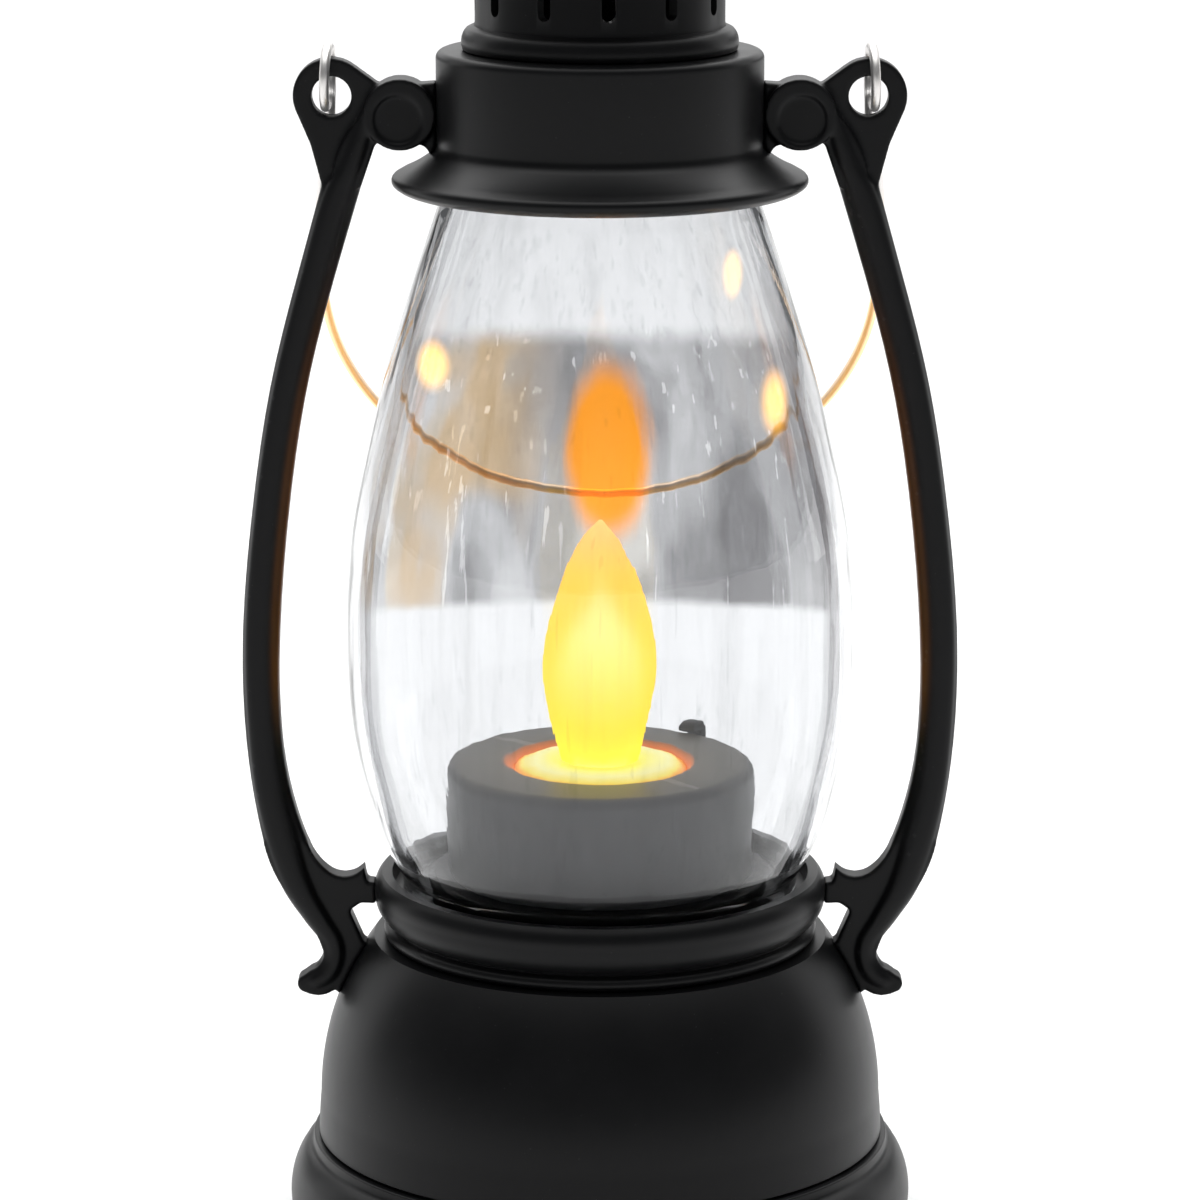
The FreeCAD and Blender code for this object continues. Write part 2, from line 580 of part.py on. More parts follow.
# --- bail ---------------------------------------------------------------------
def bail_wire():
    """Wire handle, drawn hanging straight down from its two loops, then leaned back."""
    def flip(p):
        return V(-p.x, p.y, p.z)

    top = V(EYE_X, 0, -LOOP_R)
    corner = V(ARCH_R, 0, -SPLAY_DEPTH)
    join = V(ARCH_R, 0, ARCH_R - ARCH_DEPTH)
    up = (top - corner).normalize()
    down = V(0, 0, -1)
    half = up.getAngle(down) / 2
    cut = SPLAY_BEND_R / math.tan(half)
    start = corner + up * cut
    end = corner + down * cut
    middle = corner + (up + down).normalize() * (SPLAY_BEND_R / math.sin(half) - SPLAY_BEND_R)
    spine = Part.Wire([
        Part.makeLine(top, start), Part.Arc(start, middle, end).toShape(), Part.makeLine(end, join),
        Part.Arc(join, V(0, 0, -ARCH_DEPTH), flip(join)).toShape(),
        Part.makeLine(flip(join), flip(end)), Part.Arc(flip(end), flip(middle), flip(start)).toShape(),
        Part.makeLine(flip(start), flip(top))])
    ring = Part.Wire(Part.makeCircle(WIRE_R, top, start - top))
    wire = spine.makePipeShell([ring], True, False)
    for side in (-1, 1):
        wire = wire.fuse(Part.makeTorus(LOOP_R, WIRE_R, V(side * EYE_X, 0, 0), V(1, 0, 0)))
    wire.rotate(V(0, 0, 0), V(1, 0, 0), BAIL_LEAN)
    wire.translate(V(0, 0, PIVOT_Z))
    return wire


# --- write every piece --------------------------------------------------------
PIECES = {
    "foot_ring": foot_ring, "font_shell": font_shell, "gallery_ring": gallery_ring,
    "candle_seat": candle_seat, "bottom_cover": bottom_cover, "cover_screws": cover_screws,
    "battery_door": battery_door, "battery_box": battery_box, "batteries": batteries,
    "spring_contacts": spring_contacts, "flat_contacts": flat_contacts,
    "switch_body": switch_body, "switch_slider": switch_slider,
    "wire_red": lambda: lead(1), "wire_black": lambda: lead(-1),
    "tealight_cup": tealight_cup, "glow_disc": glow_disc, "flame_shell": flame_shell,
    "led": led, "flicker_board": flicker_board, "driver_chip": driver_chip,
    "globe": globe, "crown": crown, "chimney": chimney, "cap": cap, "cap_knob": cap_knob,
    "side_arm_right": arm_right, "side_arm_left": arm_left, "bail_wire": bail_wire,
}

os.makedirs("parts", exist_ok=True)
for name, make in PIECES.items():
    shape = make()
    shape.exportStep("parts/" + name + ".step")
    print(name, "solids", len(shape.Solids), "valid", shape.isValid(), "volume", round(shape.Volume, 1))
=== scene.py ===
"""Looks of a small battery candle lantern in the form of a hurricane lamp."""
import json
import math

import bmesh
import bpy
from mathutils import Matrix, Vector


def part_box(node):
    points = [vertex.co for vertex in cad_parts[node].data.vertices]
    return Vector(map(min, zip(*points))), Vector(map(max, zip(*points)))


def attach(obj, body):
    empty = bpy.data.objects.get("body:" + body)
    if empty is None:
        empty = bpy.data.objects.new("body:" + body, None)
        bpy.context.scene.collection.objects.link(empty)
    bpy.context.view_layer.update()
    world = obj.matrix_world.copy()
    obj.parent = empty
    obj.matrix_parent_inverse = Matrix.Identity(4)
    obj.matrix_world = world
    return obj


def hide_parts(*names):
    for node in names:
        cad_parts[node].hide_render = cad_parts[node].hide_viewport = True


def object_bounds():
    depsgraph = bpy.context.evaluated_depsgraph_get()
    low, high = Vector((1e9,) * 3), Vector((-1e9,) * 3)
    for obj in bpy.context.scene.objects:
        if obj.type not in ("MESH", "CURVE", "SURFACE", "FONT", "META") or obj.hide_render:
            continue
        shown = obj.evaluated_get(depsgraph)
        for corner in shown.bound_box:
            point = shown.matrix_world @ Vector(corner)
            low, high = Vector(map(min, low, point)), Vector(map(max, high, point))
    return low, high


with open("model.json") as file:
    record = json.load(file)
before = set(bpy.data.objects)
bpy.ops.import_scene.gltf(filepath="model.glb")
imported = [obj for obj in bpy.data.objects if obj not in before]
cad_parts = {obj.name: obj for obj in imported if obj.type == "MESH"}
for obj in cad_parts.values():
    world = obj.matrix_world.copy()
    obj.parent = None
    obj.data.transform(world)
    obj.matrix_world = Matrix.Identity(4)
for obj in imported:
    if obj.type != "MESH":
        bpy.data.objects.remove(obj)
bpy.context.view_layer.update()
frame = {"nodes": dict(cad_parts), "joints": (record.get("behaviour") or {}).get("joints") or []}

MM = 0.001
ROUND = 192               # facets round a turned piece
LANTERN = "lantern"       # the body that everything fixed rides on

# Sizes of the lantern in millimetres, and angles in degrees.
SHELL_WALL = 1.8          # moulded wall of the base and crown
GLOBE_WALL = 1.6
DECK_R = 18.5             # hole in the dome's flat deck
COLLAR_R = 19.7           # straight collar above the crown's brim
TUBE_R = 15.0             # slotted chimney tube
SLOTS = 12
SLOT_HALF = 0.85          # half a slot's width
FIRST_SLOT = -86.0        # from +X to the first slot
NECK_R = 4.8              # round neck on which the flame stands
CLIP_TURN = 51.0          # from +X to the seat's clip
WIRE_R = 0.6              # bail's wire
EYE_R = 3.65              # eye at each end of the bail, to the wire's middle


# --- shader maths ---------------------------------------------------------------
class Value:
    """A socket of a finish; arithmetic on it adds Math nodes."""

    def __init__(self, finish, socket):
        self.finish = finish
        self.socket = socket

    def maths(self, operation, a, b=0.0):
        return self.finish.value("ShaderNodeMath", {"operation": operation}, {0: a, 1: b})

    def __add__(self, other):
        return self.maths("ADD", self, other)

    def __radd__(self, other):
        return self.maths("ADD", other, self)

    def __sub__(self, other):
        return self.maths("SUBTRACT", self, other)

    def __rsub__(self, other):
        return self.maths("SUBTRACT", other, self)

    def __mul__(self, other):
        return self.maths("MULTIPLY", self, other)

    def __rmul__(self, other):
        return self.maths("MULTIPLY", other, self)

    def __truediv__(self, other):
        return self.maths("DIVIDE", self, other)

    def __pow__(self, other):
        return self.maths("POWER", self, other)

    def least(self, other):
        return self.maths("MINIMUM", self, other)

    def between(self, low, high):
        """0 below low, 1 above high, smooth in between."""
        return self.finish.value("ShaderNodeMapRange", {"interpolation_type": "SMOOTHSTEP"},
                                 {"Value": self, "From Min": low, "From Max": high})


class Finish:
    """A material that is built by adding nodes to it."""

    def __init__(self, name):
        self.material = bpy.data.materials.new(name)
        self.material.use_nodes = True
        self.tree = self.material.node_tree
        self.tree.nodes.clear()
        self.end = self.tree.nodes.new("ShaderNodeOutputMaterial")

    def add(self, kind, settings=None, sockets=None):
        """Any node: its settings are set first, then its sockets' values or links."""
        node = self.tree.nodes.new(kind)
        for key, setting in (settings or {}).items():
            if key == "stops":
                ramp = node.color_ramp
                while len(ramp.elements) < len(setting):
                    ramp.elements.new(0.5)
                for element, (place, colour) in zip(ramp.elements, setting):
                    element.position = place
                    element.color = colour
            else:
                setattr(node, key, setting)
        for key, given in (sockets or {}).items():
            if isinstance(given, Value):
                self.tree.links.new(given.socket, node.inputs[key])
            else:
                node.inputs[key].default_value = given
        return node

    def value(self, kind, settings=None, sockets=None, output=0):
        return Value(self, self.add(kind, settings, sockets).outputs[output])

    def place(self):
        """Where a point is on the piece, in millimetres."""
        where = self.value("ShaderNodeTexCoord", None, None, "Object")
        return self.value("ShaderNodeVectorMath", {"operation": "SCALE"}, {0: where, "Scale": 1 / MM})

    def stretched(self, where, x, y, z):
        return self.value("ShaderNodeVectorMath", {"operation": "MULTIPLY"}, {0: where, 1: (x, y, z)})

    def grain(self, where, scale, detail=2.0, roughness=0.5, distortion=0.0):
        """Noise with about `scale` spots to a millimetre."""
        return self.value("ShaderNodeTexNoise", None,
                          {"Vector": where, "Scale": scale, "Detail": detail, "Roughness": roughness,
                           "Distortion": distortion})

    def geometry(self, output):
        """Something that the surface's shape gives, such as its Normal or Pointiness."""
        return self.value("ShaderNodeNewGeometry", None, None, output)

    def span(self, where, centre, size):
        """Distance from a centre, measured in the half sizes of an egg-shaped spot."""
        away = self.value("ShaderNodeVectorMath", {"operation": "SUBTRACT"}, {0: where, 1: centre})
        away = self.stretched(away, *(1.0 / part for part in size))
        return self.value("ShaderNodeVectorMath", {"operation": "LENGTH"}, {0: away}, "Value")

    def axes(self, where):
        node = self.add("ShaderNodeSeparateXYZ", None, {0: where})
        return [Value(self, out) for out in node.outputs]

    def blend(self, factor, a, b):
        """Colour a where factor is 0 and b where it is 1."""
        return self.value("ShaderNodeMix", {"data_type": "RGBA"}, {0: factor, 6: a, 7: b}, 2)

    def bump(self, height, depth, distance=0.1, normal=None):
        """Normal of a relief whose full height is `distance` millimetres."""
        sockets = {"Height": height, "Strength": depth, "Distance": distance * MM}
        if normal:
            sockets["Normal"] = normal
        return self.value("ShaderNodeBump", None, sockets)

    def surface(self, **sockets):
        """The main shader; words in a socket's name are joined by underscores."""
        given = {key.replace("_", " "): value for key, value in sockets.items()}
        shader = self.value("ShaderNodeBsdfPrincipled", None, given)
        self.tree.links.new(shader.socket, self.end.inputs["Surface"])
        return self.material


def tone(r, g=None, b=None):
    return (r, r if g is None else g, r if b is None else b, 1.0)


# --- finishes -------------------------------------------------------------------
def black_plastic(name, gloss, lit=None):
    """Moulded black plastic: satin skin, faint cloudiness, edges lightened as wear and as a painted
    highlight, and a trace of dust.

    `lit` gives the heights between which the sides that face the flame get a painted warm glow
    of the flame's light, as emission."""
    f = Finish(name)
    where = f.place()
    cloud = f.grain(where, 0.12, 3.0)
    skin = f.grain(where, 6.0, 2.0)
    ripple = f.grain(where, 0.30, 1.0)
    dust = f.grain(where, 2.6, 1.0).between(0.765, 0.80) * 0.35
    # painted highlight and wear: edges lightened where Pointiness is high
    edge = f.geometry("Pointiness").between(0.53, 0.62)
    body = f.blend(cloud, tone(0.0030, 0.0031, 0.0035), tone(0.0056, 0.0057, 0.0063))
    wear_and_edge_highlight = f.blend(edge * 0.45, body, tone(0.024, 0.024, 0.026))
    sockets = {}
    if lit:
        low, high = lit
        x, _, z = f.axes(where)
        inward = 0.0 - f.axes(f.geometry("Normal"))[0] * x.maths("SIGN", x)
        facing = inward.between(0.35, 1.0)
        rise = z.between(low, low + 12.0) * (1.0 - z.between(high - 30.0, high))
        # painted light: warm emission on the sides that face the flame, between the given heights
        warm = f.blend(facing * rise, tone(0.0), tone(0.06, 0.018, 0.002))
        sockets = {"Emission_Color": warm, "Emission_Strength": 1.0}
    return f.surface(Base_Color=f.blend(dust, wear_and_edge_highlight, tone(0.05)),
                     Roughness=gloss + cloud * 0.10 + skin * 0.05,
                     Normal=f.bump(skin, 0.10, 0.02, f.bump(ripple, 0.2, 0.04)), IOR=1.46,
                     Specular_IOR_Level=0.22, **sockets)


def textured_plastic(name):
    """Black plastic with the fine matt grain of an underside."""
    f = Finish(name)
    where = f.place()
    grain = f.grain(where, 3.2, 4.0, 0.7)
    colour = f.blend(grain, tone(0.012), tone(0.03))
    return f.surface(Base_Color=colour, Roughness=0.5 + grain * 0.25, Normal=f.bump(grain, 0.6, 0.06))


def candle_plastic(name):
    """Grey moulded candle body: fine matt skin, faint flow streaks, moulded edges brightened as a
    painted highlight.

    The edge of the dish that the lit disc lies in carries a painted orange glow of the disc's light, as
    emission."""
    f = Finish(name)
    where = f.place()
    cloud = f.grain(where, 0.16, 3.0)
    streak = f.grain(f.stretched(where, 1.0, 1.0, 0.12), 1.6, 2.0)
    skin = f.grain(where, 4.0, 3.0)
    # painted highlight: moulded edges brightened where Pointiness is high
    edge = f.geometry("Pointiness").between(0.51, 0.58)
    body = f.blend(cloud, tone(0.115, 0.116, 0.12), tone(0.15, 0.151, 0.155))
    body = f.blend(streak.between(0.5, 0.75) * 0.18, body, tone(0.20, 0.20, 0.205))
    colour = f.blend(edge * 0.6, body, tone(0.30, 0.30, 0.31))
    x, y, _ = f.axes(where)
    out = (x * x + y * y) ** 0.5
    # painted light: orange emission at the dish's edge round the lit disc
    warm = f.blend(1.0 - out.between(10.8, 12.1), tone(0.0), tone(0.75, 0.12, 0.0))
    return f.surface(Base_Color=colour, Roughness=0.40 + skin * 0.06, Normal=f.bump(skin, 0.05, 0.01),
                     Emission_Color=warm, Emission_Strength=1.0)


def clear_plastic(name, low, high):
    """Clear globe: polished, with vertical draw lines and a slow wave in its wall.

    Its far half carries a belt of painted reflections, soft grey and amber patches, and a painted
    reflection of the flame's orange image, such as a glossy curved wall picks up; its near half has three
    painted warm glints."""
    f = Finish(name)
    where = f.place()
    x, y, z = f.axes(where)
    tall = high - low
    wave = f.grain(f.stretched(where, 1.0, 1.0, 0.25), 0.10, 2.0)
    line = f.grain(f.stretched(where, 1.0, 1.0, 0.03), 0.9, 3.0)
    patch = f.grain(f.stretched(where, 1.0, 1.0, 0.45), 0.060, 3.0, 0.55, 0.5)
    streak = f.grain(f.stretched(where, 1.0, 1.0, 0.05), 0.32, 3.0).between(0.50, 0.70)
    mark = f.grain(where, 1.4, 2.0).between(0.70, 0.76)
    scratch = f.grain(f.stretched(where, 1.0, 1.0, 0.035), 1.1, 1.0)
    # painted shade: the globe's colour darkens where its wall is seen edge on; scratches also darken it
    edge_on = f.value("ShaderNodeLayerWeight", None, {"Blend": 0.5}, "Facing").between(0.45, 1.0)
    # painted reflections: a belt of soft grey patches and streaks on the far half
    level = z + y * 0.17
    belt = level.between(low + 0.372 * tall, low + 0.392 * tall)
    belt = belt * (1.0 - level.between(low + 0.75 * tall, low + 0.79 * tall)) * y.between(-4.0, 8.0)
    painted_reflection_grey = 0.30 + patch.between(0.40, 0.58) * 0.55 + x.between(6.0, 20.0) * 0.35
    painted_reflection_grey = painted_reflection_grey * belt + streak * 0.12
    # painted reflection: amber patches in the same belt
    amber = f.grain(f.stretched(where, 1.0, 1.0, 0.6), 0.075, 2.0).between(0.42, 0.58)
    amber = amber * belt * (1.0 - x.between(-16.0, -3.0))
    tint = f.blend(painted_reflection_grey.least(1.0), tone(0.835, 0.842, 0.852), tone(0.22, 0.218, 0.225))
    tint = f.blend(scratch.between(0.68, 0.71) * 0.25 + edge_on * 0.50, tint, tone(0.42, 0.43, 0.45))
    tint = f.blend(amber * 0.75, tint, tone(0.62, 0.42, 0.20))
    # painted reflection: the flame's orange image on the far wall, in colour and as emission
    painted_flame_reflection = f.span(where, (1.0, 27.0, low + 0.545 * tall), (6.4, 12.0, 14.0))
    painted_flame_reflection = (1.0 - painted_flame_reflection.between(0.62, 1.05)) * y.between(0.0, 6.0)
    tint = f.blend(painted_flame_reflection, tint, tone(0.80, 0.30, 0.02))
    fade = z.between(low + 0.42 * tall, low + 0.62 * tall)
    # painted reflection: pale emission in patches across the belt
    glow = f.blend((1.0 - scratch.between(0.28, 0.30)) * 0.5 * belt, tone(0.0), tone(1.2))
    glow = f.blend(painted_flame_reflection, glow, f.blend(fade, tone(0.50, 0.16, 0.03), tone(0.16, 0.03, 0.0)))
    # painted glints: three warm spots of the flame's reflection on the near half, as emission
    for centre, size, colour in (
            ((-20.0, -16.0, low + 0.76 * tall), (2.6, 6.0, 3.2), tone(2.0, 0.95, 0.02)),
            ((20.5, -16.0, low + 0.71 * tall), (1.9, 6.0, 4.2), tone(2.0, 0.90, 0.02)),
            ((15.5, -15.0, low + 0.88 * tall), (1.2, 6.0, 3.0), tone(1.6, 0.75, 0.02))):
        glint = 1.0 - f.span(where, centre, size).between(0.35, 1.15)
        glow = f.blend(glint * (0.45 + patch * 0.8).least(1.0), glow, colour)
    relief = f.bump(line, 0.12, 0.05, f.bump(wave, 0.5, 0.5))
    return f.surface(Base_Color=tint, Roughness=0.012 + mark * 0.10, Normal=relief, IOR=1.47,
                     Transmission_Weight=1.0, Emission_Color=glow, Emission_Strength=0.5)


def flame_skin(name, low, high):
    """Frosted flame: deep yellow at its foot, warmer and paler towards the tip."""
    f = Finish(name)
    up = (f.axes(f.place())[2] - low) / (high - low)
    swirl = f.grain(f.place(), 0.22, 2.0) - 0.5
    heat = f.value("ShaderNodeValToRGB", {"stops": [
        (0.0, tone(0.78, 0.72, 0.004)), (0.16, tone(0.76, 0.58, 0.004)), (0.40, tone(0.80, 0.56, 0.030)),
        (0.60, tone(0.84, 0.54, 0.060)), (0.80, tone(0.92, 0.52, 0.13)), (0.92, tone(0.95, 0.50, 0.22)),
        (1.0, tone(0.95, 0.54, 0.27))]},
        {0: up + swirl * 0.10})
    return f.surface(Base_Color=tone(0.50, 0.36, 0.05), Roughness=0.85 + swirl * 0.1,
                     Emission_Color=heat, Emission_Strength=1.0, Specular_IOR_Level=0.1,
                     Transmission_Weight=0.70, IOR=1.40)


def flame_core(name, low, high):
    """The lit inner face of the flame, hottest a little above the lamp inside."""
    f = Finish(name)
    up = (f.axes(f.place())[2] - low) / (high - low)
    heat = f.value("ShaderNodeValToRGB", {"stops": [
        (0.0, tone(0.70, 0.80, 0.05)), (0.20, tone(0.70, 0.80, 0.15)), (0.36, tone(0.80, 0.95, 0.7)),
        (0.62, tone(1.0, 1.5, 2.1)), (0.80, tone(0.9, 1.3, 1.9)), (1.0, tone(0.5, 0.6, 0.3))]}, {0: up})
    return f.surface(Base_Color=tone(0.30, 0.22, 0.03), Roughness=0.6, Emission_Color=heat,
                     Emission_Strength=1.0)


def glow_plastic(name, radius):
    """Lit disc: pale yellow in the middle, orange where it meets the candle."""
    f = Finish(name)
    where = f.place()
    x, y, _ = f.axes(where)
    out = (x * x + y * y) ** 0.5 / radius
    patch = f.grain(where, 0.5, 2.0) - 0.5
    heat = f.value("ShaderNodeValToRGB", {"stops": [
        (0.0, tone(0.85, 0.85, 0.01)), (0.50, tone(0.85, 0.85, 0.08)), (0.76, tone(0.86, 0.86, 0.40)),
        (0.90, tone(0.86, 0.72, 0.10)), (0.95, tone(0.88, 0.34, 0.0)), (1.0, tone(0.75, 0.15, 0.0))]},
        {0: out + patch * 0.05})
    return f.surface(Base_Color=tone(0.30, 0.22, 0.06), Roughness=0.4 + patch * 0.2,
                     Emission_Color=heat, Emission_Strength=1.0)


def bright_wire(name):
    """Nickel plated steel wire with fine drawing marks; near the flame its lower part is painted warmer
    and given a painted glow of the flame's light, oranger on its downward faces.
    """
    f = Finish(name)
    where = f.place()
    mark = f.grain(where, 2.4, 4.0, 0.65)
    stain = f.grain(where, 0.25, 2.0)
    colour = f.blend(stain, tone(0.86, 0.85, 0.84), tone(0.70, 0.67, 0.64))
    # painted light: the wire's lower part, near the flame, gets a warmer colour
    near = 1.0 - f.axes(where)[2].between(112.0, 132.0)
    colour = f.blend(near, colour, tone(0.88, 0.66, 0.46))
    # painted light: emission glow of the flame on the lower part, oranger on downward faces, and a faint
    # grey glow over the rest
    upward = f.axes(f.geometry("Normal"))[2]
    glow = f.blend(upward.between(-0.35, 0.35), tone(0.60, 0.30, 0.06), tone(0.36, 0.30, 0.24))
    return f.surface(Base_Color=colour, Metallic=1.0, Roughness=0.30 + mark * 0.16,
                     Normal=f.bump(mark, 0.15, 0.02), Emission_Strength=1.0,
                     Emission_Color=f.blend(near * (0.60 + stain * 0.4), tone(0.04), glow))


def plated_steel(name, dark, light):
    """Plated steel of screws and contacts, cloudy and lightly brushed."""
    f = Finish(name)
    where = f.place()
    brush = f.grain(f.stretched(where, 1.0, 6.0, 1.0), 1.2, 3.0)
    return f.surface(Base_Color=f.blend(brush, tone(dark), tone(light)), Metallic=1.0,
                     Roughness=0.24 + brush * 0.2, Normal=f.bump(brush, 0.2, 0.02))


def cell_jacket(name):
    """Foil sleeve of a cell: dark blue with a light band, bare steel at both ends."""
    f = Finish(name)
    where = f.place()
    x = f.axes(where)[0]
    along = x.maths("ABSOLUTE", x)
    scuff = f.grain(where, 0.8, 3.0)
    bare = along.between(21.0, 21.15)
    band = along.between(13.0, 13.1) * (1.0 - along.between(17.0, 17.1))
    sleeve = f.blend(scuff * 0.5, tone(0.018, 0.035, 0.10), tone(0.03, 0.06, 0.16))
    sleeve = f.blend(band, sleeve, tone(0.55, 0.54, 0.50))
    return f.surface(Base_Color=f.blend(bare, sleeve, tone(0.6)), Metallic=bare * 0.9,
                     Roughness=0.22 + scuff * 0.16, Normal=f.bump(scuff, 0.1, 0.03))


def lead_skin(name, colour):
    """Vinyl skin of a lead."""
    f = Finish(name)
    cloud = f.grain(f.place(), 1.5, 2.0)
    dark = tone(*[c * 0.7 for c in colour])
    return f.surface(Base_Color=f.blend(cloud, dark, tone(*colour)), Roughness=0.35 + cloud * 0.15)


def board_finish(name):
    """Green solder mask over copper tracks."""
    f = Finish(name)
    where = f.place()
    track = f.value("ShaderNodeTexBrick", {"offset": 0.5}, {
        "Vector": where, "Scale": 0.35, "Mortar Size": 0.03, "Color1": tone(0.0), "Color2": tone(0.1),
        "Mortar": tone(1.0)})
    weave = f.grain(where, 3.0, 2.0)
    colour = f.blend(track, tone(0.006, 0.06, 0.022), tone(0.014, 0.12, 0.045))
    return f.surface(Base_Color=colour, Roughness=0.26 + weave * 0.1, Normal=f.bump(track, 0.4, 0.03))


def lens_epoxy(name):
    """Clear epoxy of the lamp, lit from inside."""
    f = Finish(name)
    cloud = f.grain(f.place(), 1.0, 2.0)
    heat = f.blend(cloud, tone(1.0, 0.80, 0.32), tone(1.0, 0.90, 0.45))
    return f.surface(Base_Color=tone(0.9, 0.8, 0.5), Roughness=0.15 + cloud * 0.1,
                     Emission_Color=heat, Emission_Strength=4.0)


# --- outlines -------------------------------------------------------------------
def bow(a, via, b, steps=10):
    """Points on the circle through three points, from a to b."""
    (ax, ay), (bx, by), (cx, cy) = a, via, b
    d = 2 * (ax * (by - cy) + bx * (cy - ay) + cx * (ay - by))
    a2, b2, c2 = ax * ax + ay * ay, bx * bx + by * by, cx * cx + cy * cy
    ox = (a2 * (by - cy) + b2 * (cy - ay) + c2 * (ay - by)) / d
    oy = (a2 * (cx - bx) + b2 * (ax - cx) + c2 * (bx - ax)) / d
    start = math.atan2(ay - oy, ax - ox)
    turn = (math.atan2(cy - oy, cx - ox) - start) % math.tau
    through = (math.atan2(by - oy, bx - ox) - start) % math.tau
    if through > turn:
        turn -= math.tau
    radius = math.hypot(ax - ox, ay - oy)
    angles = [start + turn * i / steps for i in range(steps + 1)]
    return [(ox + radius * math.cos(a), oy + radius * math.sin(a)) for a in angles]


def flowing(points, steps=6):
    """Smooth curve through the points (Catmull-Rom)."""
    first = [2 * a - b for a, b in zip(points[0], points[1])]
    last = [2 * a - b for a, b in zip(points[-1], points[-2])]
    p = [first, *points, last]
    path = []
    for i in range(1, len(p) - 2):
        for s in range(steps):
            t = s / steps
            path.append(tuple(
                0.5 * (2 * p1 + (p2 - p0) * t + (2 * p0 - 5 * p1 + 4 * p2 - p3) * t * t
                       + (3 * p1 - p0 - 3 * p2 + p3) * t ** 3)
                for p0, p1, p2, p3 in zip(p[i - 1], p[i], p[i + 1], p[i + 2])))
    return path + [tuple(points[-1])]


def eased(points, closed=True, steps=4):
    """Rounds each corner that is given as (r, z, radius); other points stay as they are."""
    path = []
    count = len(points)
    for i, point in enumerate(points):
        inner = closed or 0 < i < count - 1
        if len(point) < 3 or not inner:
            path.append(Vector(point[:2]))
            continue
        here = Vector(point[:2])
        back = Vector(points[i - 1][:2]) - here
        ahead = Vector(points[(i + 1) % count][:2]) - here
        half = back.angle(ahead) / 2
        cut = min(point[2] / math.tan(half), back.length * 0.45, ahead.length * 0.45)
        start = here + back.normalized() * cut
        end = here + ahead.normalized() * cut
        for s in range(steps + 1):
            t = s / steps
            path.append(start * (1 - t) ** 2 + here * 2 * t * (1 - t) + end * t * t)
    return path


# --- meshes ---------------------------------------------------------------------
def piece_of(name, verts, faces, finish, crease=35.0):
    mesh = bpy.data.meshes.new(name)
    mesh.from_pydata(verts, [], faces)
    work = bmesh.new()
    work.from_mesh(mesh)
    bmesh.ops.recalc_face_normals(work, faces=work.faces)
    work.to_mesh(mesh)
    work.free()
    mesh.validate()
    mesh.shade_smooth()
    mesh.set_sharp_from_angle(angle=math.radians(crease))
    piece = bpy.data.objects.new(name, mesh)
    bpy.context.scene.collection.objects.link(piece)
    mesh.materials.append(finish)
    return piece


def lathe(name, outline, finish, closed=True, facets=ROUND, crease=35.0):
    """Turns an outline of (r, z) in millimetres about the lantern's axis.

    A closed outline makes a ring; an open one starts and ends on the axis."""
    section = eased(outline, closed)
    verts = []
    rows = []
    for r, z in section:
        if r < 1e-6:
            rows.append([len(verts)] * facets)
            verts.append((0.0, 0.0, z * MM))
            continue
        rows.append(range(len(verts), len(verts) + facets))
        for k in range(facets):
            a = math.tau * k / facets
            verts.append((r * MM * math.cos(a), r * MM * math.sin(a), z * MM))
    pairs = list(zip(rows, rows[1:]))
    if closed:
        pairs.append((rows[-1], rows[0]))
    faces = []
    for low, high in pairs:
        for k in range(facets):
            n = (k + 1) % facets
            face = []
            for v in (low[k], low[n], high[n], high[k]):
                if v not in face:
                    face.append(v)
            if len(face) > 2:
                faces.append(face)
    return piece_of(name, verts, faces, finish, crease)


def evaluated(piece):
    """Bakes a piece's modifiers or bevel into a plain mesh of the same name."""
    graph = bpy.context.evaluated_depsgraph_get()
    mesh = bpy.data.meshes.new_from_object(piece.evaluated_get(graph))
    name = piece.name
    bpy.data.objects.remove(piece)
    done = bpy.data.objects.new(name, mesh)
    bpy.context.scene.collection.objects.link(done)
    return done


def softened(name, meshes, finish, voxel, rounds):
    """One moulded skin over several overlapping closed shapes: their corners and joins melt."""
    work = bmesh.new()
    for mesh in meshes:
        work.from_mesh(mesh)
    whole = bpy.data.meshes.new(name)
    work.to_mesh(whole)
    work.free()
    piece = bpy.data.objects.new(name, whole)
    bpy.context.scene.collection.objects.link(piece)
    remesh = piece.modifiers.new("skin", "REMESH")
    remesh.mode = "VOXEL"
    remesh.voxel_size = voxel * MM
    smooth = piece.modifiers.new("soften", "SMOOTH")
    smooth.factor = 0.5
    smooth.iterations = rounds
    piece = evaluated(piece)
    piece.data.materials.clear()
    piece.data.materials.append(finish)
    piece.data.shade_smooth()
    return piece


def settle(piece, body, slot, *nodes):
    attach(piece, body)
    if nodes:
        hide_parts(*nodes)


def reach(node):
    """Widest radius, lowest and highest z of a CAD node, in millimetres."""
    low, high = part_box(node)
    return max(high.x, high.y) / MM, low.z / MM, high.z / MM


# --- turned pieces --------------------------------------------------------------
def make_foot(finish):
    r, low, top = reach("foot_ring")
    swell = bow((r - 0.62, low + 2.6), (r - 0.02, low + 6.2), (r - 1.0, low + 10.0), 14)
    cove = bow((r - 2.35, low + 11.75), (r - 2.75, low + 12.05), (r - 2.95, low + 12.35), 4)
    heel = bow((r - 1.6, low + 0.1), (r - 1.0, low + 1.0), (r - 0.68, low + 2.2), 5)
    outline = [(r - 4.0, low, 0.3), (r - 2.0, low), *heel, *swell, (r - 1.75, low + 11.2), *cove,
               (r - 2.95, top - 0.02, 0.25), (r - 3.6, top, 0.2), (r - 5.3, top, 0.1),
               (r - 5.3, low + 3.5), (r - 4.0, low + 3.5)]
    settle(lathe("foot_ring_moulding", outline, finish), LANTERN, "black_shell", "foot_ring")


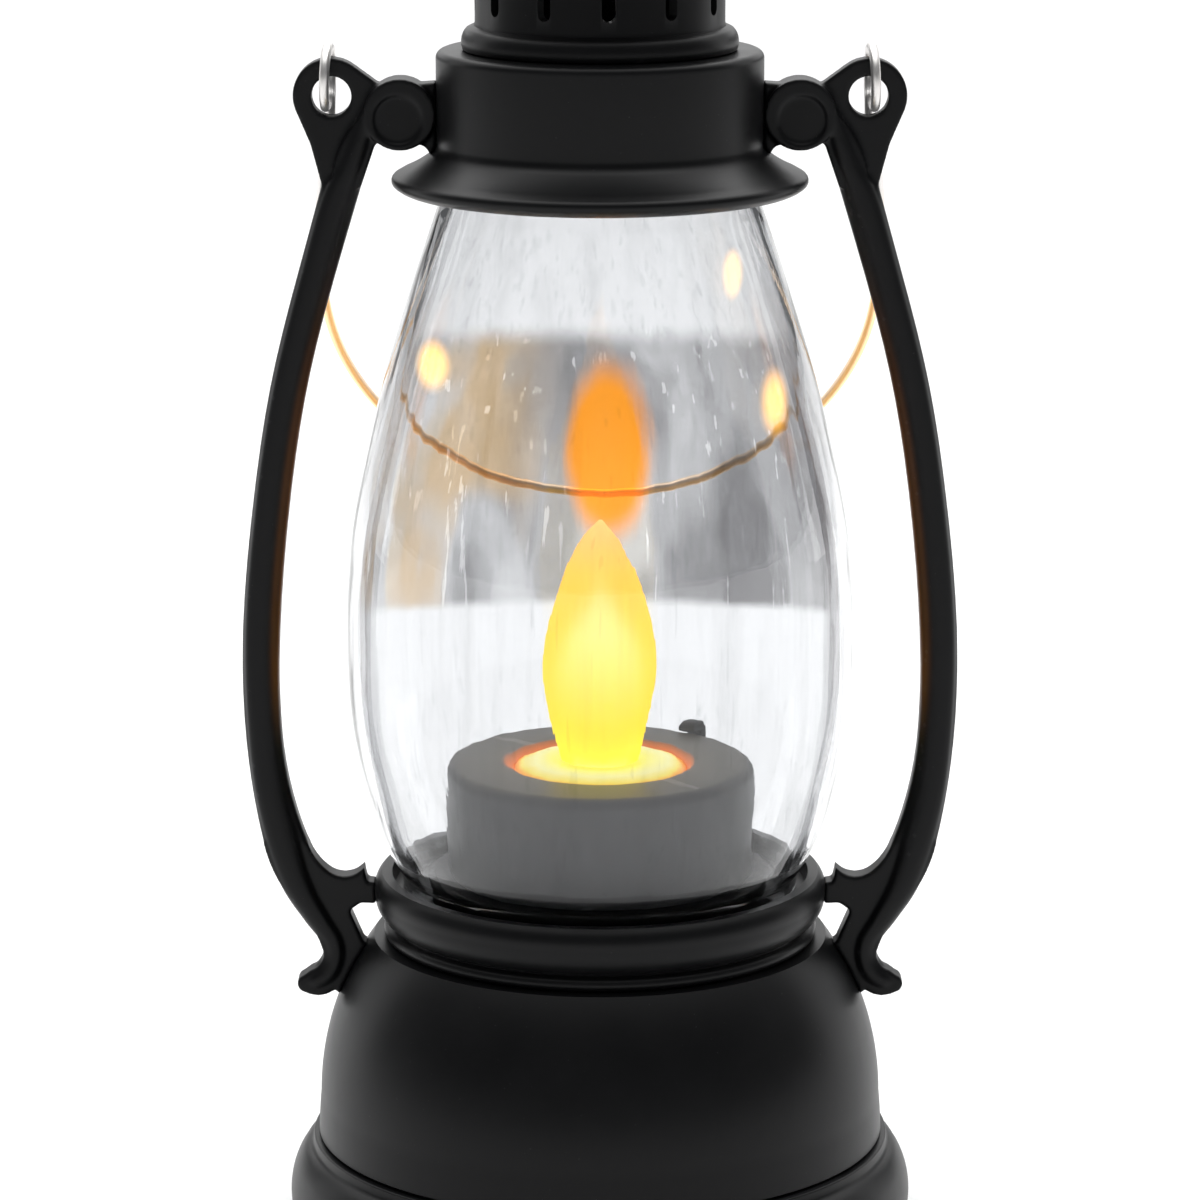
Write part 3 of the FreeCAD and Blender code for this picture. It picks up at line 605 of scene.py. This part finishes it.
def make_font(finish):
    r, _, top = reach("font_shell")
    base = top - 25.4          # lower edge of the dome, on the foot ring
    low = base - 3.4           # lower edge of the spigot inside the ring
    flank = bow((r, base + 0.45), (r - 0.1, base + 2.6), (r - 0.3, base + 5.2), 6)
    dome = bow((r - 0.3, base + 5.2), (r - 1.9, base + 15.3), (r - 7.1, top), 30)
    inside = bow((r - 8.1, top - SHELL_WALL), (r - 3.6, base + 14.8), (r - 2.1, base + 5.2), 16)
    outline = [(r - 2.0, base), (r - 0.45, base, 0.15), *flank[:-1], *dome, (DECK_R, top, 0.3),
               (DECK_R, top - SHELL_WALL), *inside, (r - 2.1, base + 1.6), (r - 3.5, base + 0.2),
               (r - 3.5, low), (r - 2.0, low)]
    settle(lathe("font_dome", outline, finish), LANTERN, "black_shell", "font_shell")


def make_gallery(finish):
    r, low, top = reach("gallery_ring")
    ring = low + 2.0          # underside of the wide ring
    bead = bow((26.35, low + 0.1), (26.85, low + 0.95), (26.3, low + 1.75), 8)
    swell = bow((26.7, ring + 0.5), (27.6, ring + 1.7), (r, ring + 3.3), 8)
    shoulder = bow((r, ring + 3.5), (r - 0.12, ring + 5.0), (r - 0.65, ring + 5.85), 8)
    seat = top - 1.8          # where the globe stands inside
    outline = [(19.0, low), (26.2, low), *bead, (25.9, ring, 0.15), (26.4, ring + 0.3), *swell,
               *shoulder, (r - 0.9, top), (25.75, top, 0.15), (25.4, seat), (20.2, seat),
               (20.2, seat - 1.5), (23.6, seat - 1.5), (23.6, low + 1.4), (19.0, low + 1.4)]
    settle(lathe("gallery_rim", outline, finish), LANTERN, "black_shell", "gallery_ring")


def make_globe(finish):
    r, low, top = reach("globe")
    seat = low + 1.7
    side = [(24.5, seat), (26.55, seat + 3.7), (28.4, seat + 8.8), (30.6, seat + 19.6),
            (r, seat + 29.6), (30.75, seat + 38.2), (29.7, seat + 46.6), (26.5, seat + 60.9),
            (23.1, seat + 72.3), (19.4, top - 4.0)]
    back = [(x - GLOBE_WALL, z) for x, z in reversed(side)]
    outline = [(22.8, low, 0.3), (24.4, low, 0.3), *flowing(side, 8), (18.9, top, 0.3), (17.3, top, 0.3),
               *flowing(back, 8)]
    settle(lathe("globe_clear", outline, finish, crease=50.0), LANTERN, "clear_globe", "globe")


def make_crown(finish):
    r, low, top = reach("crown")
    under = bow((21.6, low), (23.4, low + 0.15), (24.3, low + 0.5), 5)
    lip = bow((24.75, low + 0.8), (r, low + 1.4), (24.6, low + 2.2), 6)
    flare = bow((24.0, low + 2.55), (22.2, low + 3.45), (20.5, low + 4.6), 8)
    cove = bow((20.2, low + 4.85), (19.8, low + 5.4), (COLLAR_R, low + 6.4), 5)
    shoulder = bow((COLLAR_R, top - 0.9), (19.44, top - 0.26), (18.8, top), 6)
    inner = COLLAR_R - SHELL_WALL
    outline = [(20.0, low + 0.1), (20.6, low + 0.05, 0.2), *under, *lip, *flare, *cove,
               (COLLAR_R, top - 1.1), *shoulder, (13.2, top, 0.2), (13.2, top - SHELL_WALL),
               (inner, top - SHELL_WALL), (inner, low + 5.5), (16.6, low + 4.1), (16.6, low + 2.9),
               (19.6, low + 2.9)]
    settle(lathe("crown_brim", outline, finish), LANTERN, "black_shell", "crown")


def make_seat(finish):
    """Round seat under the candle with the spring clip that hooks over the candle's edge."""
    _, low, clip_top = reach("candle_seat")
    candle_r, top, candle_top = reach("tealight_cup")
    r = candle_r + 2.0
    outline = [(4.0, top), (4.0, top - 2.0), (18.6, top - 2.0), (18.6, low), (19.9, low),
               (19.9, top - 2.4), (r, top - 2.4), (r, top, 0.4)]
    settle(lathe("seat_disc", outline, finish), LANTERN, "black_seat", "candle_seat")
    inner, outer = candle_r + 0.15, candle_r + 1.35
    lip = candle_top + 0.1
    bend = [(inner, top - 0.3), (outer, top - 0.3), (outer, clip_top - 0.9), (outer - 0.5, clip_top - 0.15),
            (outer - 1.2, clip_top), (candle_r - 1.0, clip_top - 0.05), (candle_r - 1.65, clip_top - 0.5),
            (candle_r - 1.6, lip + 0.15), (candle_r - 1.0, lip), (inner - 0.1, lip), (inner, lip - 0.4)]
    half = 1.15
    turn = Matrix.Rotation(math.radians(CLIP_TURN), 3, "Z")
    verts = [turn @ Vector((x, w, z)) * MM for w in (-half, half) for x, z in bend]
    n = len(bend)
    faces = [list(range(n)), list(range(n, 2 * n))]
    faces += [[k, (k + 1) % n, n + (k + 1) % n, n + k] for k in range(n)]
    clip = piece_of("seat_clip", verts, faces, finish, 60.0)
    round_off = clip.modifiers.new("edges", "BEVEL")
    round_off.width = 0.42 * MM
    round_off.segments = 3
    clip = evaluated(clip)
    settle(clip, LANTERN, "black_seat")


def make_candle(finish):
    r, low, top = reach("tealight_cup")
    outline = [(r - 1.5, low), (r - 0.15, low, 0.1), (r, low + 0.5, 0.2), (r, top - 1.6),
               *bow((r, top - 1.4), (r - 0.41, top - 0.41), (r - 1.4, top), 8),
               (11.6, top, 0.35), (10.9, top - 0.75, 0.2), (10.9, top - 1.6), (5.6, top - 1.6),
               (5.6, top - 3.0), (r - 1.5, top - 3.0)]
    settle(lathe("candle_body", outline, finish), LANTERN, "grey_candle", "tealight_cup")


def make_disc(finish):
    r, low, top = reach("glow_disc")
    hole = NECK_R + 0.02
    crown = bow((r - 0.6, low + 1.05), (8.2, low + 1.7), (5.6, top - 0.15), 8)
    outline = [(hole, low), (r, low), (r, low + 0.8, 0.25), *crown, (hole, top)]
    settle(lathe("glow_disc_lit", outline, finish), LANTERN, "warm_glow", "glow_disc")


def flame_side(r, foot, tip, steps):
    """The flame's side from its foot to its tip."""
    high = tip - foot
    return flowing([(r - 2.15, foot), (r - 1.25, foot + 0.13 * high), (r - 0.2, foot + 0.30 * high),
                    (r, foot + 0.42 * high), (r - 0.62, foot + 0.56 * high), (r - 2.1, foot + 0.725 * high),
                    (r - 4.3, foot + 0.90 * high), (0.3, tip)], steps)


def make_flame(skin, core):
    r, low, tip = reach("flame_shell")
    foot = low + 3.5
    outer = [(0.0, low), (NECK_R, low), *flame_side(r, foot, tip - 0.02, 8), (0.0, tip)]
    shell = lathe("flame_skin", outer, skin, closed=False, facets=96, crease=80.0)
    heart_tip = tip - 7.0
    inner = [(0.0, low + 0.5), (NECK_R / 2, low + 0.5), *flame_side(r - 2.3, foot, heart_tip, 8),
             (0.0, heart_tip)]
    heart = lathe("flame_core", inner, core, closed=False, facets=64, crease=80.0)
    settle(shell, LANTERN, "flame", "flame_shell")
    settle(heart, LANTERN, "flame")


def make_cap(finish):
    r, low, top = reach("cap")
    eave = low + 1.6
    outline = [(0.0, eave + 1.2), (12.9, eave + 1.2), (12.9, low), (13.25, low), (13.25, eave),
               (r - 1.4, eave), *bow((r - 1.1, eave + 0.02), (r, eave + 0.95), (r - 1.0, eave + 1.95), 8),
               *bow((r - 1.6, eave + 2.3), (r - 2.8, eave + 3.0), (r - 4.1, eave + 3.35), 6),
               *bow((r - 4.3, eave + 3.5), (9.6, eave + 7.3), (3.3, top), 14), (0.0, top)]
    settle(lathe("cap_dome", outline, finish, closed=False), LANTERN, "black_shell", "cap")


def make_knob(finish):
    r, low, top = reach("cap_knob")
    waist = bow((2.7, low + 1.9), (2.2, low + 2.3), (2.3, low + 2.9), 5)
    ball = bow((2.5, low + 3.1), (r, low + 4.7), (2.6, top - 0.55), 14)
    button = bow((2.2, top - 0.35), (1.2, top - 0.11), (0.0, top - 0.03), 5)
    outline = [(0.0, low), (3.05, low), (3.05, low + 1.6, 0.2), *waist, *ball, *button]
    knob = lathe("cap_knob_turned", outline, finish, closed=False, facets=96)
    settle(knob, LANTERN, "black_shell", "cap_knob")


# --- the slotted chimney ----------------------------------------------------------
def make_chimney(finish):
    """Turned tube whose slots are cut by a ring of cutters."""
    r, low, top = reach("chimney")
    step = low + 3.0
    belly = bow((r - 0.15, step + 0.2), (r, step + 1.2), (r - 0.35, step + 2.3), 8)
    ease = bow((r - 0.6, step + 2.6), (r - 1.0, step + 2.8), (TUBE_R + 0.1, step + 3.0), 4)
    outline = [(11.6, low), (13.15, low), (13.15, step), (r - 0.45, step, 0.2), *belly, *ease,
               (TUBE_R, step + 3.4), (TUBE_R, top, 0.2), (13.3, top), (13.3, low + 4.2),
               (11.6, low + 4.2)]
    piece = lathe("chimney_tube", outline, finish)
    slot_low = step + 4.7 + SLOT_HALF
    slot_high = step + 12.0 - SLOT_HALF
    half_turn = [math.pi * s / 8 for s in range(9)]
    arch = [(SLOT_HALF * math.cos(a), slot_high + SLOT_HALF * math.sin(a)) for a in half_turn]
    arch += [(-SLOT_HALF * math.cos(a), slot_low - SLOT_HALF * math.sin(a)) for a in half_turn]
    n = len(arch)
    verts, faces = [], []
    for i in range(SLOTS):
        spin = Matrix.Rotation(math.radians(FIRST_SLOT + 360.0 * i / SLOTS), 3, "Z")
        first = len(verts)
        for x in (12.4, 16.4):
            verts += [spin @ Vector((x, w, z)) * MM for w, z in arch]
        faces.append([first + k for k in range(n)])
        faces.append([first + n + k for k in reversed(range(n))])
        for k in range(n):
            a, b = first + k, first + (k + 1) % n
            faces.append([b, a, n + a, n + b])
    cutter = piece_of("slot_cutter", verts, faces, finish)
    cut = piece.modifiers.new("slots", "BOOLEAN")
    cut.object = cutter
    cut.operation = "DIFFERENCE"
    piece = evaluated(piece)
    bpy.data.objects.remove(cutter)
    piece.data.set_sharp_from_angle(angle=math.radians(35.0))
    settle(piece, LANTERN, "black_shell", "chimney")


# --- arms and bail ------------------------------------------------------------------
def arm_bar(side):
    """Rounded bar of an arm, from the scroll's top down to the tip of the hook.

    Each station is an outer point, an inner point, the thickness and where the crest lies
    (1 at the outer edge, -1 at the inner one)."""
    stations = [
        (23.6, 145.2, 23.8, 143.7, 4.4, 0.0), (26.8, 144.2, 25.8, 142.6, 4.8, 0.0),
        (28.7, 141.6, 26.8, 140.8, 5.1, 0.0), (30.2, 138.2, 27.2, 137.4, 5.3, 0.1),
        (31.6, 134.9, 28.2, 134.2, 5.4, 0.1), (33.6, 131.4, 29.0, 131.4, 5.4, 0.1),
        (36.0, 123.1, 31.6, 123.1, 5.4, 0.15), (39.8, 108.4, 35.5, 108.4, 5.4, 0.2),
        (42.3, 93.0, 38.0, 93.0, 5.4, 0.25), (43.8, 76.0, 39.4, 76.0, 5.4, 0.25),
        (43.3, 61.0, 38.9, 60.8, 5.4, 0.2), (41.8, 51.6, 36.9, 51.2, 5.4, 0.1),
        (39.7, 44.9, 35.6, 45.6, 5.3, -0.15), (36.9, 40.4, 33.7, 41.3, 5.0, -0.35),
        (34.95, 37.8, 32.1, 38.3, 4.7, -0.4), (34.5, 36.2, 31.9, 35.6, 4.6, -0.4),
        (35.1, 34.9, 32.9, 33.0, 4.4, -0.3), (36.4, 33.5, 34.7, 31.5, 4.0, 0.0),
        (37.2, 32.7, 36.2, 31.5, 3.0, 0.0)]
    around = 28
    squareness = 2.0 / 2.5
    verts, faces = [], []
    rows = flowing(stations, 6)
    for ox, oz, ix, iz, thick, crest in rows:
        for k in range(around):
            a = math.tau * k / around
            c, h = math.cos(a), math.sin(a)
            across = math.copysign(abs(c) ** squareness, c)
            across -= crest * (1.0 - across * across)
            out = math.copysign(abs(h) ** squareness, h) * thick / 2
            x = (ox + ix) / 2 + (ix - ox) / 2 * across
            z = (oz + iz) / 2 + (iz - oz) / 2 * across
            verts.append(Vector((side * x, out, z)) * MM)
    for i in range(len(rows) - 1):
        for k in range(around):
            n = (k + 1) % around
            faces.append([i * around + k, i * around + n, (i + 1) * around + n, (i + 1) * around + k])
    last = (len(rows) - 1) * around
    faces += [list(range(around)), [last + k for k in range(around)]]
    bar = piece_of("arm_bar", verts, faces, None)
    mesh = bar.data
    bpy.data.objects.remove(bar)
    return mesh


def make_arms(finish):
    for side, hand in ((-1, "left"), (1, "right")):
        node = "side_arm_" + hand
        shapes = [frame["nodes"][node].data, arm_bar(side)]
        arm = softened("arm_moulding_" + hand, shapes, finish, voxel=0.22, rounds=6)
        settle(arm, LANTERN, "black_arm", node)


def make_bail(finish):
    """Wire bail: an eye, a leg and half an arch, mirrored to the other side."""
    joint = next(j for j in frame["joints"] if j["name"] == "bail_swing")
    pivot = Vector(joint["pos_m"])
    low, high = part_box("bail_wire")
    wire = WIRE_R * MM
    reach_y = high.y - wire
    drop = pivot.z - low.z - wire
    lean = math.atan2(reach_y, drop)
    arch_r = high.x - wire
    centre = math.hypot(reach_y, drop) - arch_r
    eye_r = EYE_R * MM
    half = []
    turns = 24
    for i in range(turns + 1):
        a = math.radians(-165.0 + 337.0 * i / turns)      # 0 is the top of the eye, -90 its front
        aside = 32.68 - 0.26 * math.sin(max(-math.pi / 2, min(math.pi / 2, a)))
        half.append((aside * MM, eye_r * math.sin(a), -eye_r * math.cos(a)))
    half += [(x * MM, y * MM, s * MM) for x, y, s in (
        (32.45, 0.05, 4.6), (32.5, 0.0, 5.8), (32.8, 0.0, 8.5), (33.6, 0.0, 12.5), (34.2, 0.0, 17.0))]
    half += [(arch_r, 0.0, 22.0 * MM), (arch_r, 0.0, 27.0 * MM)]
    for degrees in range(88, -1, -8):
        a = math.radians(degrees)
        half.append((arch_r * math.sin(a), 0.0, centre + arch_r * math.cos(a)))
    route = half + [(-x, y, s) for x, y, s in reversed(half[:-1])]
    tilt = Matrix.Rotation(lean, 3, "X")
    curve = bpy.data.curves.new("bail_wire_bent", "CURVE")
    curve.dimensions = "3D"
    spline = curve.splines.new("NURBS")
    spline.points.add(len(route) - 1)
    for point, (x, y, s) in zip(spline.points, route):
        place = pivot + tilt @ Vector((x, y, -s))
        point.co = (*place, 1.0)
    spline.order_u = 4
    spline.use_endpoint_u = True
    curve.bevel_depth = wire
    curve.bevel_resolution = 5
    curve.resolution_u = 6
    curve.use_fill_caps = True
    piece = bpy.data.objects.new("bail_wire_bent", curve)
    bpy.context.scene.collection.objects.link(piece)
    piece = evaluated(piece)
    piece.data.materials.clear()
    piece.data.materials.append(finish)
    piece.data.shade_smooth()
    settle(piece, "bail", "steel_wire", "bail_wire")


# --- studio -------------------------------------------------------------------------
def softbox(name, size, power, at, towards):
    light = bpy.data.lights.new(name, "AREA")
    light.shape = "RECTANGLE"
    light.size, light.size_y = size
    light.energy = power
    lamp = bpy.data.objects.new(name, light)
    lamp.location = at
    aim = Vector(towards) - Vector(at)
    lamp.rotation_euler = aim.to_track_quat("-Z", "Y").to_euler()
    bpy.context.scene.collection.objects.link(lamp)


def make_studio():
    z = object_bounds()[0].z
    floor = Finish("floor_paint")
    mottle = floor.grain(floor.place(), 0.02, 2.0)
    floor.surface(Base_Color=floor.blend(mottle, tone(0.90), tone(0.94)), Roughness=0.85)
    half = 12.0
    verts = [(-half, -half, z), (half, -half, z), (half, half, z), (-half, half, z)]
    piece_of("floor", verts, [(0, 1, 2, 3)], floor.material)
    world = bpy.data.worlds.new("studio")
    bpy.context.scene.world = world
    world.use_nodes = True
    back = world.node_tree.nodes["Background"]
    back.inputs["Color"].default_value = tone(0.95, 0.97, 1.0)
    back.inputs["Strength"].default_value = 0.13
    middle = (0.0, 0.0, 0.09)
    softbox("box_left", (0.30, 0.8), 0.95, (-0.75, 0.48, 0.30), middle)
    softbox("box_right", (0.30, 0.8), 0.95, (0.75, 0.48, 0.30), middle)
    softbox("box_top", (1.1, 1.1), 7.0, (0.0, 0.30, 0.95), middle)
    softbox("box_back", (3.0, 0.6), 9.0, (0.0, 2.2, 0.66), middle)
    sky = bpy.data.lights.new("tent", "SUN")
    sky.energy = 2.3
    sky.angle = math.radians(100.0)
    tent = bpy.data.objects.new("tent", sky)
    tent.rotation_euler = (math.radians(-14.0), 0.0, 0.0)
    bpy.context.scene.collection.objects.link(tent)


def make_camera():
    """Long lens a little above the lantern, looking down at it from the front."""
    view_down = math.radians(12.65)
    distance = 0.610
    aim_z = 0.081
    camera = bpy.data.cameras.new("camera")
    camera.lens = 149.07
    camera.sensor_width = 36.0
    camera.clip_start = 0.01
    eye = bpy.data.objects.new("camera", camera)
    eye.location = (0.0, -distance * math.cos(view_down), aim_z + distance * math.sin(view_down))
    eye.rotation_euler = (math.pi / 2 - view_down, 0.0, 0.0)
    bpy.context.scene.collection.objects.link(eye)
    bpy.context.scene.camera = eye


# --- putting it together ---------------------------------------------------------------
def dress(node, finish):
    """Gives a CAD piece that stays as it is its finish."""
    mesh = frame["nodes"][node].data
    mesh.materials.clear()
    mesh.materials.append(finish)


def main():
    shell = black_plastic("black_shell_skin", 0.30)
    arm = black_plastic("black_arm_skin", 0.32, lit=(62.0, 128.0))
    dark = black_plastic("black_seat_skin", 0.45)
    cover = textured_plastic("black_cover_skin")
    make_camera()
    make_foot(shell)
    make_font(shell)
    make_gallery(shell)
    make_crown(shell)
    make_chimney(shell)
    make_cap(shell)
    make_knob(shell)
    make_candle(candle_plastic("candle_skin"))
    globe_reach = reach("globe")
    make_globe(clear_plastic("globe_skin", globe_reach[1], globe_reach[2]))
    _, flame_low, flame_high = reach("flame_shell")
    make_flame(flame_skin("flame_frost", flame_low + 3.0, flame_high),
               flame_core("flame_heart", flame_low + 3.0, flame_high - 4.0))
    make_disc(glow_plastic("disc_glow", reach("glow_disc")[0]))
    make_arms(arm)
    make_bail(bright_wire("wire_plating"))
    make_seat(dark)
    for node in ("bottom_cover", "battery_door", "battery_box"):
        dress(node, cover)
    for node in ("switch_body", "switch_slider", "driver_chip"):
        dress(node, dark)
    dress("cover_screws", plated_steel("screw_zinc", 0.45, 0.62))
    nickel = plated_steel("contact_nickel", 0.55, 0.75)
    dress("spring_contacts", nickel)
    dress("flat_contacts", nickel)
    dress("batteries", cell_jacket("cell_sleeve"))
    dress("wire_red", lead_skin("lead_red", (0.50, 0.02, 0.015)))
    dress("wire_black", lead_skin("lead_black", (0.03, 0.03, 0.03)))
    dress("flicker_board", board_finish("board_mask"))
    dress("led", lens_epoxy("lamp_epoxy"))
    make_studio()
    scene = bpy.context.scene
    scene.view_settings.view_transform = "Standard"
    scene.cycles.max_bounces = 16
    scene.cycles.transmission_bounces = 12


main()
